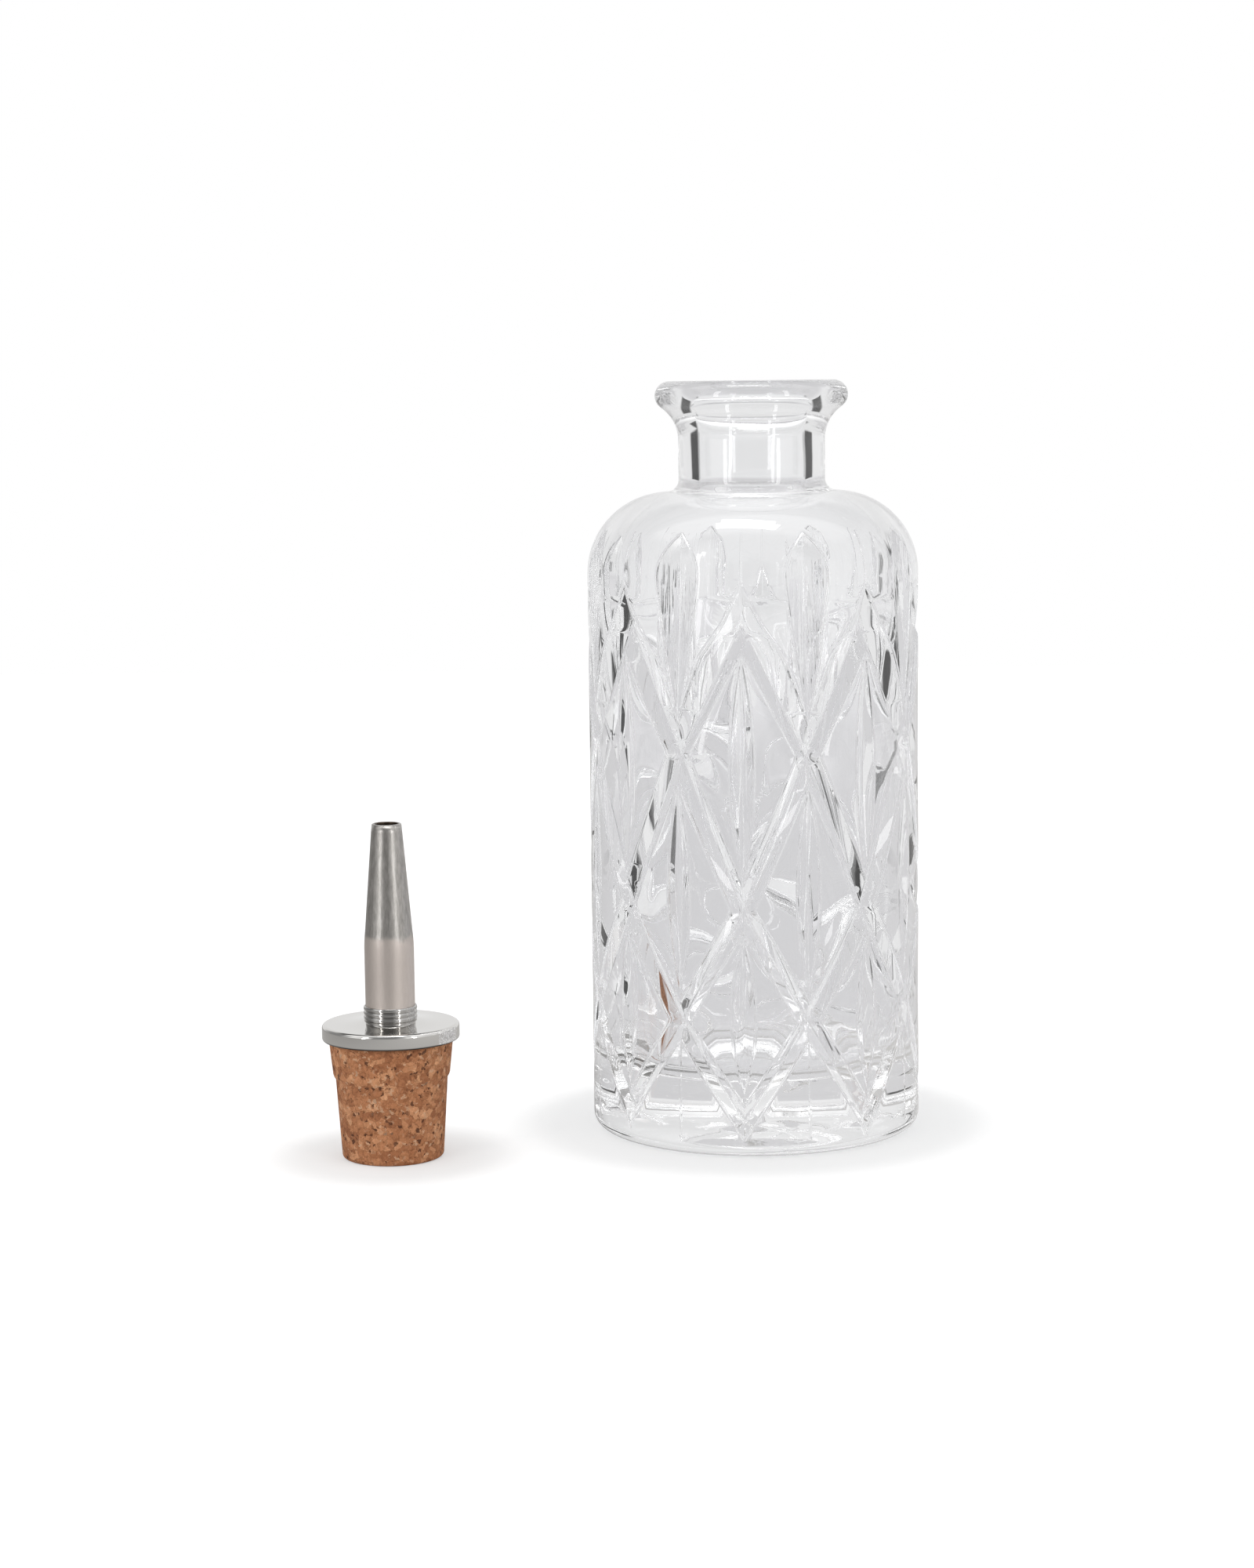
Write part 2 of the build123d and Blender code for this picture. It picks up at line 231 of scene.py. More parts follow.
class HalfColumn:
    """The cuts of one half column, between its column line (s = 0) and the half line beside it."""

    def __init__(self, column_line, half_line):
        column, half = nodes_up[column_line], nodes_up[half_line]
        self.ends = []
        for row in range(len(row_heights)):
            self.ends.append((0, column[row]) if row % 2 == 0 else (half_width, half[row]))
        self.bands = []
        for (s0, z0), (s1, z1) in zip(self.ends, self.ends[1:]):
            slope = (s1 - s0) / (z0 - z1)
            self.bands.append((s0, z0, slope, 1 / sqrt(1 + slope * slope), z1))
        self.column_leaves = [(column[2] + leaf_end_gap, column[0] - leaf_end_gap),
                              (column[4] + leaf_end_gap, column[2] - leaf_end_gap)]
        self.half_leaves = [(half[3] + leaf_end_gap, half[1] - leaf_end_gap)]
        self.flute_low = half[1] + leaf_end_gap

    def band_width(self, z):
        """Half the width of the bands at a height: they get narrower towards the foot."""
        heights = [end[1] for end in self.ends]
        for row in range(len(heights) - 1):
            if z >= heights[row + 1]:
                share = min(max((z - heights[row + 1]) / (heights[row] - heights[row + 1]), 0), 1)
                low, high = row_width_shares[row + 1], row_width_shares[row]
                return band_half_width * (low + (high - low) * share)
        return band_half_width * row_width_shares[-1]

    def opening(self, row, z):
        """How many times wider the outer side of a band is than its inner side."""
        if row > 0:
            return 1.0
        high, low = self.ends[0][1], self.ends[1][1]
        share = min(max((high - z) / (high - low), 0), 1)
        for (a, wide_a), (b, wide_b) in zip(top_cut_opening, top_cut_opening[1:]):
            if share <= b:
                return 1 + wide_a + (wide_b - wide_a) * (share - a) / (b - a)
        return 1.0

    def off_bands(self, s, z):
        """How far a place is off the middle of each band: as it is, and as if both sides were alike."""
        for row, (s0, z0, slope, lean, z1) in enumerate(self.bands):
            away = (s - s0 - slope * (z0 - z)) * lean
            yield away, away / self.opening(row, z) if away > 0 else away

    def leaf_at(self, leaves, z):
        """Depth of the leaf cuts at their middle at a height."""
        for low, high in leaves:
            if low < z < high:
                return leaf_depth * (1 - ((2 * z - low - high) / (high - low)) ** 2)
        return 0.0

    def flute_at(self, z):
        """Depth of the flute at its middle at a height: a nearly straight cut through the shoulder."""
        if not self.flute_low < z < flute_top:
            return 0.0
        share = (z - self.flute_low) / (flute_top - self.flute_low)
        chord = body_radius + (outside_radius(flute_top) - body_radius) * share
        return max(outside_radius(z) - chord + flute_depth * 4 * share * (1 - share), 0)

    def column_reach(self, z):
        """How far the leaf cut on the column line reaches to its side at a height."""
        return self.leaf_at(self.column_leaves, z) * leaf_half_slope

    def half_reach(self, z):
        """How far the leaf cut or the flute on the half line reaches to its side at a height."""
        leaf = self.leaf_at(self.half_leaves, z) * leaf_half_slope
        return max(leaf, self.flute_at(z) * flute_half_slope)

    def depth(self, s, z):
        """How deep the cuts go in at a place of the half column."""
        width = self.band_width(z)
        band = -1.0
        for _, away in self.off_bands(s, z):
            band = max(band, (width - sqrt(away * away + edge_round ** 2)) / band_half_slope)
        leaf = self.leaf_at(self.column_leaves, z) - sqrt(s * s + edge_round ** 2) / leaf_half_slope
        away = sqrt((half_width - s) ** 2 + edge_round ** 2)
        half_leaf = self.leaf_at(self.half_leaves, z) - away / leaf_half_slope
        flute = self.flute_at(z) - away / flute_half_slope
        return soft_more(soft_more(band, max(leaf, half_leaf, flute)), 0)

    def edge_at(self, s, z):
        """How far inside the nearest cut a place lies, minus being outside, and how far off a middle."""
        width = self.band_width(z)
        inside, off_middle = far_outside_cuts, far_off_middle
        for straight_away, away in self.off_bands(s, z):
            off_middle = min(off_middle, abs(straight_away))
            inside = max(inside, width - abs(away))
        inside = max(inside, self.column_reach(z) - s)
        return max(inside, self.half_reach(z) - (half_width - s)), off_middle

    def lines(self, z):
        """Where the mesh lines lie across at a height, so that they follow the edges of the cuts."""
        fixed = {0: 0.0, 1: edge_step}
        fixed[lines_per_half - 1], fixed[lines_per_half] = half_width - edge_step, half_width
        row = next((row for row, band in enumerate(self.bands) if z >= band[4]), len(self.bands) - 1)
        s0, z0, slope, lean, z1 = self.bands[row]
        middle = s0 + slope * (z0 - z)
        reach = self.band_width(z) / lean
        wanted = [(leaf_edge_line, self.column_reach(z)),
                  (near_edge_line, middle - reach),
                  (band_middle_line, middle),
                  (far_edge_line, middle + reach * self.opening(row, z)),
                  (flute_edge_line, half_width - self.half_reach(z))]
        last_line, last_s = 1, edge_step
        for line, s in wanted:
            room = (line - 1 - last_line) * line_room
            if last_s + room + edge_step < s < half_width - 3 * edge_step and s > 3 * edge_step:
                fixed[line - 1], fixed[line], fixed[line + 1] = s - edge_step, s, s + edge_step
                last_line, last_s = line + 1, s + edge_step
        known = sorted(fixed)
        places = []
        for line in range(lines_per_half + 1):
            low = max(k for k in known if k <= line)
            high = min(k for k in known if k >= line)
            share = (line - low) / (high - low) if high > low else 0
            places.append(fixed[low] + (fixed[high] - fixed[low]) * share)
        return places


def uneven(waves, turn, z):
    """How far a blown wall stands off its plain round at a place."""
    return sum(height * sin(around * turn + up * z + shift) for height, around, up, shift in waves)


def add_measure(piece, name, values):
    """Keeps one number for each vertex of a piece, for its material to read."""
    piece.data.attributes.new(name=name, type="FLOAT", domain="POINT").data.foreach_set("value", values)


def make_glass_bottle():
    """The bottle is turned first, and its outside is then moved in where it is cut."""
    steps = 2 * columns * lines_per_half
    piece = turned_piece("cut_glass_bottle", bottle_outline(), (0, 0), steps, front_column_angle)
    halves = []
    for half in range(2 * columns):
        column_line = half if half % 2 == 0 else (half + 1) % (2 * columns)
        half_line = half + 1 if half % 2 == 0 else half
        halves.append(HalfColumn(column_line, half_line))
    known_lines = {}
    step_angle = tau / steps
    edges = [far_outside_cuts] * len(piece.data.vertices)
    middles = [far_off_middle] * len(piece.data.vertices)
    for vertex in piece.data.vertices:
        x, y, z = vertex.co
        r = hypot(x, y)
        turn = (atan2(y, x) - front_column_angle) % tau
        if foot_corner + near < z < flute_top + above_flutes and abs(r - outside_radius(z)) < near:
            half, line = divmod(round(turn / step_angle) % steps, lines_per_half)
            key = (half, round(z * 1e6))
            if key not in known_lines:
                known_lines[key] = halves[half].lines(z)
            mirrored = half % 2 == 1
            s = known_lines[key][lines_per_half - line if mirrored else line]
            across = 1 - s / half_width if mirrored else s / half_width
            angle = front_column_angle + (half + across) * pi / columns
            depth = halves[half].depth(s, z)
            vertex.co = ((r - depth) * cos(angle), (r - depth) * sin(angle), z)
            edges[vertex.index], middles[vertex.index] = halves[half].edge_at(s, z)
        elif abs(r - bore_radius) < bore_near and z < bottle_height - mouth_taper_depth + near:
            stretch = 1 + uneven(bore_waves, turn, z) / r
            vertex.co = (x * stretch, y * stretch, z)
        elif (floor_height + inside_margin < z < shoulder_start
              and bore_radius + inside_margin < r < body_radius - outside_margin):
            stretch = 1 + uneven(inside_waves, turn, z) / r
            vertex.co = (x * stretch, y * stretch, z)
    add_measure(piece, "cut_edge", edges)
    add_measure(piece, "cut_middle", middles)
    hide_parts("glass_bottle")
    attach(piece, "bottle")
    return piece


# Stopper, in metres: it stands where the frame's cork stands
cork_low, cork_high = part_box("cork")
stopper_centre = ((cork_low.x + cork_high.x) / 2, (cork_low.y + cork_high.y) / 2)
cork_top = cork_high.z
cork_foot_radius = 0.00875
cork_foot_edge = 0.0007
cork_end_middle = 0.0062
cork_head_radius = (cork_high.x - cork_low.x) / 2
cork_head_edge = 0.0002
stem_radius = 0.00305
stem_flare_radius = 0.00415
stem_flare_depth = 0.0008

# The cork stops a hair under the disc, so that their faces don't lie in one plane
hair = 0.00001

# The ring that the mouth pressed into the cork. The cork steps out above it, as shares of the step and
# heights over the ring
cork_ring_height = 0.0139
cork_ring_radius = 0.00962
cork_ring_step = 0.00042
cork_ring_turns = ((0.3, 0.00012), (0.8, 0.0005), (1.0, 0.0008))

disc_low, disc_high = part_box("flange_disc")
disc_radius = (disc_high.x - disc_low.x) / 2
disc_rim = 0.00275
disc_edge = 0.00065
disc_foot_edge = 0.0004
disc_foot_flat = 0.001
disc_seat_radius = 0.00465
disc_climb_steps = 28
disc_climb_bend = 2.4

collar_low, collar_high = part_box("collar")
collar_radius = (collar_high.x - collar_low.x) / 2
collar_inner = 0.0043
collar_swell_share = 0.72
collar_bead_turn = 84
collar_bead_steps = 12
collar_top_edge = 0.00004

spout_low, spout_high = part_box("spout")
spout_radius = (spout_high.x - spout_low.x) / 2
spout_wall = 0.0006
spout_tip_radius = 0.00255
spout_straight = 0.01385
spout_tip_round = 0.0002
spout_tip_swell = 0.00002

# Soft bend from the tube to the cone: how far in from the tube's side, and how high over the cone's foot
spout_bend = ((0.0, -0.0014), (0.00003, -0.0004), (0.0001, 0.0006), (0.00022, 0.0018))


def make_cork():
    under_disc = cork_top - hair
    outline = [(stem_radius, under_disc), (stem_radius, stem_flare_depth),
               (stem_flare_radius, stem_flare_depth), (stem_flare_radius, 2 * hair), (cork_end_middle, 0)]
    outline += arc((cork_foot_radius - cork_foot_edge, cork_foot_edge), cork_foot_edge, -90, -5, 6)
    outline += straight(outline[-1], (cork_ring_radius, cork_ring_height), 26)
    outline += [(cork_ring_radius + out * cork_ring_step, cork_ring_height + up)
                for out, up in cork_ring_turns]
    outline += straight(outline[-1], (cork_head_radius, cork_top - cork_head_edge), 12)
    outline += [(cork_head_radius - cork_head_edge, under_disc), (cork_end_middle, under_disc), outline[0]]
    piece = turned_piece("granulated_cork", outline, stopper_centre, 200)
    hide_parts("cork")
    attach(piece, "stopper")
    return piece


def make_disc():
    rim_top = cork_top + disc_rim
    seat_top = disc_high.z
    outline = [(stem_radius, cork_top), (disc_radius - disc_foot_edge - disc_foot_flat, cork_top)]
    outline += arc((disc_radius - disc_foot_edge, cork_top + disc_foot_edge), disc_foot_edge, -90, 0, 8)
    outline += straight((disc_radius, cork_top + disc_foot_edge), (disc_radius, rim_top - disc_edge), 2)
    outline += arc((disc_radius - disc_edge, rim_top - disc_edge), disc_edge, 0, 90, 12)
    inner_edge = disc_radius - disc_edge
    for step in range(1, disc_climb_steps + 1):
        share = step / disc_climb_steps
        r = inner_edge + (disc_seat_radius - inner_edge) * share
        outline.append((r, rim_top + (seat_top - rim_top) * share ** disc_climb_bend))
    outline += [(collar_inner, seat_top), (stem_radius, seat_top), (stem_radius, cork_top)]
    piece = turned_piece("polished_disc", outline, stopper_centre, 192)
    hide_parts("flange_disc")
    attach(piece, "stopper")
    return piece


def make_collar():
    """Three beads, one on top of the other."""
    low, high = collar_low.z, collar_high.z
    bead = (high - low) / 6
    swell = (collar_radius - collar_inner) * collar_swell_share
    groove = collar_radius - swell
    outline = [(collar_inner, high), (collar_inner, low), (groove, low)]
    for middle in (low + bead, (low + high) / 2, high - bead):
        for step in range(collar_bead_steps + 1):
            turn = radians(-collar_bead_turn + 2 * collar_bead_turn * step / collar_bead_steps)
            outline.append((groove + swell * cos(turn), middle + bead * sin(turn)))
    outline += [(groove - collar_top_edge, high), (collar_inner, high)]
    piece = turned_piece("beaded_collar", outline, stopper_centre, 144)
    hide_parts("collar")
    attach(piece, "stopper")
    return piece


def make_spout():
    foot, tip = spout_low.z, spout_high.z
    cone_foot = foot + spout_straight
    bore = spout_radius - spout_wall
    tip_bore = spout_tip_radius - spout_wall
    tip_edge = tip - spout_tip_round
    bend = [(spout_radius - inwards, cone_foot + up) for inwards, up in spout_bend]
    outline = [(bore, foot), (spout_radius, foot)]
    outline += straight((spout_radius, foot), bend[0], 6)
    outline += bend[1:3]
    outline += straight(bend[3], (spout_tip_radius + spout_tip_swell, tip_edge), 16)
    outline += arc((spout_tip_radius - spout_tip_round, tip_edge), spout_tip_round, 0, 90, 5)
    outline += arc((tip_bore + spout_tip_round, tip_edge), spout_tip_round, 90, 180, 5)
    outline += straight((tip_bore, tip_edge), (bore, cone_foot), 8)
    outline += [(bore, foot)]
    piece = turned_piece("dasher_spout", outline, stopper_centre, 128)
    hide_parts("spout")
    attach(piece, "stopper")
    return piece


# Nodes of the materials
def new_finish(name):
    """A material with an empty tree but its output and one Principled shader."""
    material = bpy.data.materials.new(name)
    material.use_nodes = True
    tree = material.node_tree
    tree.nodes.clear()
    shader = tree.nodes.new("ShaderNodeBsdfPrincipled")
    tree.nodes.new("ShaderNodeOutputMaterial")
    show(tree, shader.outputs["BSDF"])
    return material, tree, shader


def show(tree, shader):
    """Puts a shader on the surface."""
    tree.links.new(shader, tree.get_output_node("ALL").inputs["Surface"])


def node(tree, kind, inputs=(), **settings):
    """Adds a node, sets its properties, and sets or links its inputs, as pairs of socket and value."""
    made = tree.nodes.new(kind)
    for key, value in settings.items():
        setattr(made, key, value)
    for socket, value in inputs:
        if isinstance(value, bpy.types.NodeSocket):
            tree.links.new(value, made.inputs[socket])
        else:
            made.inputs[socket].default_value = value
    return made


def maths(tree, operation, *values):
    """A number worked out from others."""
    return node(tree, "ShaderNodeMath", enumerate(values), operation=operation).outputs["Value"]


def vector_maths(tree, operation, inputs):
    """The node of a vector worked out from others."""
    return node(tree, "ShaderNodeVectorMath", inputs, operation=operation)


def mapped(tree, value, start, end, low=0.0, high=1.0, interpolation="LINEAR"):
    """A number carried from the range start to end over to low to high, and held at both ends."""
    inputs = [("Value", value), ("From Min", start), ("From Max", end), ("To Min", low), ("To Max", high)]
    return node(tree, "ShaderNodeMapRange", inputs, interpolation_type=interpolation).outputs["Result"]


def eased(tree, value, start, end):
    """A share that goes from 0 to 1 as a number goes from start to end, slowly at both ends."""
    return mapped(tree, value, start, end, interpolation="SMOOTHSTEP")


def noise(tree, place, scale, detail, roughness=0.5):
    """The node of an uneven cloud."""
    inputs = [("Vector", place), ("Scale", scale), ("Detail", detail), ("Roughness", roughness)]
    return node(tree, "ShaderNodeTexNoise", inputs)


def grains(tree, place, scale, feature="F1"):
    """The node of a crowd of small cells."""
    return node(tree, "ShaderNodeTexVoronoi", [("Vector", place), ("Scale", scale)], feature=feature)


def object_place(tree):
    """The place on the piece, in metres."""
    return node(tree, "ShaderNodeTexCoord").outputs["Object"]


def mapping(tree, place, change, value):
    """A place that is moved, turned or scaled."""
    return node(tree, "ShaderNodeMapping", [("Vector", place), (change, value)]).outputs["Vector"]


def parts(tree, place):
    """The X, Y and Z of a place."""
    return node(tree, "ShaderNodeSeparateXYZ", [(0, place)]).outputs


def colour_parts(tree, colour):
    """The red, green and blue of a colour."""
    return node(tree, "ShaderNodeSeparateColor", [(0, colour)]).outputs


def off_axis(tree, place):
    """How far a place is from the upright axis."""
    flat = vector_maths(tree, "MULTIPLY", [(0, place), (1, (1, 1, 0))])
    return vector_maths(tree, "LENGTH", [(0, flat.outputs["Vector"])]).outputs["Value"]


def bumped(tree, height, distance, strength=1.0, under=None):
    """A normal raised by a height, on top of the normal under it where there is one."""
    inputs = [("Height", height), ("Strength", strength), ("Distance", distance)]
    made = node(tree, "ShaderNodeBump", inputs)
    if under is not None:
        tree.links.new(under, made.inputs["Normal"])
    return made.outputs["Normal"]


def ramp(tree, factor, stops):
    """A colour ramp, with its stops as pairs of place and colour."""
    made = node(tree, "ShaderNodeValToRGB", [("Fac", factor)])
    elements = made.color_ramp.elements
    while len(elements) < len(stops):
        elements.new(0.5)
    for element, (place, colour) in zip(elements, stops):
        element.position = place
        element.color = (*colour, 1)
    return made.outputs["Color"]


def grey_ramp(tree, factor, stops):
    """A ramp of greys, with its stops as pairs of place and brightness."""
    return ramp(tree, factor, [(place, grey(value)) for place, value in stops])


def grey(value):
    """A colour without tint."""
    return (value, value, value)


def mix_colour(tree, factor, a, b, blend="MIX"):
    """One colour mixed into another; both are sockets or three numbers."""
    made = node(tree, "ShaderNodeMix", [(0, factor)], data_type="RGBA", blend_type=blend)
    for socket, value in ((6, a), (7, b)):
        if isinstance(value, bpy.types.NodeSocket):
            tree.links.new(value, made.inputs[socket])
        else:
            made.inputs[socket].default_value = (*value, 1)
    return made.outputs[2]


def mix_shader(tree, share, first, second):
    """The first shader where a share is 0, and the second where it is 1."""
    return node(tree, "ShaderNodeMixShader", [(0, share), (1, first), (2, second)]).outputs["Shader"]


def matt(tree, brightness):
    """A plain grey surface without gloss."""
    return node(tree, "ShaderNodeBsdfDiffuse", [("Color", (*grey(brightness), 1))]).outputs["BSDF"]


def glow(tree, colour, strength):
    """A surface that shines by itself."""
    inputs = [("Color", (*colour, 1)), ("Strength", strength)]
    return node(tree, "ShaderNodeEmission", inputs).outputs["Emission"]


# Finish of the glass. Streaks in the flutes: how many to a radian round and a metre up, how high, and the
# limits where they fade in. Lines of the wheel: how high, and how far they reach off an edge or a middle
glass_tint = (0.985, 0.987, 0.992)
shadow_tint = (0.86, 0.87, 0.88)
streaks_round = 34.0
streaks_up = 60.0
streak_height = 0.00016
beside_column = (-0.50, -0.72)
over_band = (0.076, 0.086)
under_shoulder = (0.1075, 0.1035)
on_outside = (0.0255, 0.0262)
wheel_line_height = 0.00015
edge_line_reach = 0.00034
middle_line_reach = 0.00026
middle_line_share = 0.6


def glass_finish():
    """Clear glass, a little uneven, with streaks in the flutes and the wheel's lines along the cuts."""
    material, tree, shader = new_finish("clear_cut_glass")
    shader.inputs["Base Color"].default_value = (*glass_tint, 1)
    shader.inputs["Transmission Weight"].default_value = 1.0
    shader.inputs["IOR"].default_value = 1.52
    place = object_place(tree)
    ripple = noise(tree, place, scale=90.0, detail=2.0).outputs["Fac"]
    tree.links.new(mapped(tree, ripple, 0.0, 1.0, low=0.0, high=0.012), shader.inputs["Roughness"])
    rippled = bumped(tree, ripple, distance=0.0004, strength=0.12)
    # each flute is cut with a fan of fine upright lines
    x, y, z = parts(tree, place)
    turn = maths(tree, "ARCTAN2", y, x)
    fan = node(tree, "ShaderNodeCombineXYZ", [("X", maths(tree, "MULTIPLY", turn, streaks_round)),
                                              ("Y", maths(tree, "MULTIPLY", z, streaks_up))])
    streaks = noise(tree, fan.outputs["Vector"], scale=1.0, detail=2.0).outputs["Fac"]
    from_column = maths(tree, "MULTIPLY_ADD", turn, columns, -columns * front_column_angle)
    column = maths(tree, "COSINE", from_column)
    for measure, fade in ((column, beside_column), (z, over_band), (z, under_shoulder),
                          (off_axis(tree, place), on_outside)):
        streaks = maths(tree, "MULTIPLY", streaks, eased(tree, measure, *fade))
    streaked = bumped(tree, streaks, streak_height, under=rippled)
    # the wheel leaves a fine raised line on both edges of each cut and a sunk one along a band's middle
    edge = node(tree, "ShaderNodeAttribute", attribute_name="cut_edge").outputs["Fac"]
    middle = node(tree, "ShaderNodeAttribute", attribute_name="cut_middle").outputs["Fac"]
    raised = eased(tree, maths(tree, "ABSOLUTE", edge), edge_line_reach, 0.0)
    sunk = maths(tree, "MULTIPLY", eased(tree, middle, middle_line_reach, 0.0), middle_line_share)
    wheel = bumped(tree, maths(tree, "SUBTRACT", raised, sunk), wheel_line_height, under=streaked)
    tree.links.new(wheel, shader.inputs["Normal"])
    # light reaches the floor through the glass, which leaves a pale shadow
    shadow_ray = node(tree, "ShaderNodeLightPath").outputs["Is Shadow Ray"]
    clear = node(tree, "ShaderNodeBsdfTransparent", [("Color", (*shadow_tint, 1))])
    show(tree, mix_shader(tree, shadow_ray, shader.outputs["BSDF"], clear.outputs["BSDF"]))
    return material


# Finish of the cork: cells to a metre of its grains and specks, and their tints
cork_grain_scale = 760.0
cork_bark_scale = 1500.0
cork_speck_scale = 1900.0
cork_stir = 0.0019
cork_grain_tints = ((0.0, (0.34, 0.134, 0.060)), (0.3, (0.43, 0.178, 0.080)),
                    (0.7, (0.52, 0.232, 0.110)), (1.0, (0.66, 0.33, 0.17)))
cork_bark_shades = ((0.30, (0.42, 0.35, 0.28)), (0.41, (0.82, 0.79, 0.76)),
                    (0.56, (1.06, 1.06, 1.06)), (0.70, (1.42, 1.52, 1.62)))
cork_seam_shades = ((0.0, 0.72), (0.07, 1.0))
dark_speck_share = ((0.945, 0.0), (0.965, 0.9))
dark_speck_tint = (0.085, 0.032, 0.016)
pale_speck_share = ((0.92, 0.0), (0.96, 0.6))
pale_speck_tint = (0.68, 0.44, 0.28)


def cork_finish():
    """Agglomerated cork: ragged grains of several browns, pressed together, with dark and pale specks."""
    material, tree, shader = new_finish("granulated_cork")
    place = object_place(tree)
    stir = noise(tree, place, scale=900.0, detail=4.0, roughness=0.7).outputs["Color"]
    stirred = vector_maths(tree, "SUBTRACT", [(0, stir), (1, grey(0.5))]).outputs["Vector"]
    moved = vector_maths(tree, "SCALE", [(0, stirred), ("Scale", cork_stir)]).outputs["Vector"]
    warped = vector_maths(tree, "ADD", [(0, place), (1, moved)]).outputs["Vector"]
    grain = colour_parts(tree, grains(tree, warped, cork_grain_scale).outputs["Color"])
    base = ramp(tree, grain["Red"], cork_grain_tints)
    bark = noise(tree, warped, cork_bark_scale, detail=5.0, roughness=0.75).outputs["Fac"]
    shade = ramp(tree, bark, cork_bark_shades)
    base = mix_colour(tree, 1.0, base, shade, "MULTIPLY")
    to_seam = grains(tree, warped, cork_grain_scale, "DISTANCE_TO_EDGE").outputs["Distance"]
    seam = grey_ramp(tree, to_seam, cork_seam_shades)
    base = mix_colour(tree, 1.0, base, seam, "MULTIPLY")
    speck = colour_parts(tree, grains(tree, warped, cork_speck_scale).outputs["Color"])
    dark = grey_ramp(tree, speck["Green"], dark_speck_share)
    base = mix_colour(tree, dark, base, dark_speck_tint)
    pale = grey_ramp(tree, speck["Blue"], pale_speck_share)
    base = mix_colour(tree, pale, base, pale_speck_tint)
    tree.links.new(base, shader.inputs["Base Color"])
    shader.inputs["Roughness"].default_value = 0.82
    shader.inputs["Specular IOR Level"].default_value = 0.25
    height = mix_colour(tree, dark, mix_colour(tree, 0.5, seam, shade), grey(0.2))
    tree.links.new(bumped(tree, height, distance=0.00025, strength=0.7), shader.inputs["Normal"])
    return material


# Tints of the steel
disc_tint = (0.745, 0.732, 0.712)
# the collar is the disc's polished steel, tinted darker as painted shade
collar_painted_shade_tint = (0.50, 0.49, 0.475)
tube_tints = ((0.2, (0.72, 0.648, 0.60)), (0.8, (0.80, 0.725, 0.675)))
cone_tints = ((0.25, (0.33, 0.313, 0.293)), (0.75, (0.62, 0.598, 0.572)))
# inside the spout's bore the steel is tinted dark as painted shade
bore_painted_shade_tint = (0.085, 0.062, 0.045)
bore_painted_shade_fade = 0.00015
brush_scale = (2600, 2600, 520)
tube_roughness = 0.46
cone_roughness = 0.33

# Where the cone's finish takes over from the tube's, over the cone's foot, and how ragged that line is
cone_finish_start = 0.0008
cone_finish_end = 0.0024
cone_finish_rag = 0.0022


def polished_finish(name, tint):
    """Mirror-polished steel with a faint haze."""
    material, tree, shader = new_finish(name)
    shader.inputs["Base Color"].default_value = (*tint, 1)
    shader.inputs["Metallic"].default_value = 1.0
    haze = noise(tree, object_place(tree), scale=500.0, detail=3.0).outputs["Fac"]
    tree.links.new(mapped(tree, haze, 0.0, 1.0, low=0.02, high=0.05), shader.inputs["Roughness"])
    return material


def satin_finish(name, bore=0.0):
    """Satin steel, brushed finer on the tube and coarser and darker on the cone, with painted shade inside
    its bore.
    """
    material, tree, shader = new_finish(name)
    place = object_place(tree)
    to_middle = (-stopper_centre[0], -stopper_centre[1], 0)
    centred = mapping(tree, place, "Location", to_middle)
    patchy = noise(tree, place, scale=700.0, detail=4.0).outputs["Fac"]
    wavy = maths(tree, "ADD", parts(tree, centred)["Z"], maths(tree, "MULTIPLY", patchy, cone_finish_rag))
    cone_foot = spout_low.z + spout_straight
    on_cone = eased(tree, wavy, cone_foot + cone_finish_start, cone_foot + cone_finish_end)
    stretched = mapping(tree, place, "Scale", brush_scale)
    brushed = noise(tree, stretched, scale=1.0, detail=4.0, roughness=0.65).outputs["Fac"]
    colour = mix_colour(tree, on_cone, ramp(tree, brushed, tube_tints), ramp(tree, brushed, cone_tints))
    # painted shade: the steel is darkened inside the bore
    if bore:
        inside = mapped(tree, off_axis(tree, centred), bore, bore - bore_painted_shade_fade)
        colour = mix_colour(tree, inside, colour, bore_painted_shade_tint)
    tree.links.new(colour, shader.inputs["Base Color"])
    shader.inputs["Metallic"].default_value = 1.0
    roughness = mix_colour(tree, on_cone, grey(tube_roughness), grey(cone_roughness))
    tree.links.new(roughness, shader.inputs["Roughness"])
    tree.links.new(bumped(tree, brushed, distance=0.00005, strength=0.25), shader.inputs["Normal"])
    return material


def dress(piece, material):
    """Gives a piece one material all over."""
    piece.data.materials.clear()
    piece.data.materials.append(material)


# Floor: where the painted shadow of its lowered glow round the feet starts and ends, and how much the eye
# sees it lifted beyond that
floor_size = 1.8
painted_shadow_starts = 0.006
bottle_painted_shadow_ends = 0.019
cork_painted_shadow_ends = 0.018
lift_beyond_painted_shadow = 0.17
floor_seen_in_glass = (1.0, 0.994, 1.007)
floor_seen_in_metal = (1, 0.985, 0.965)


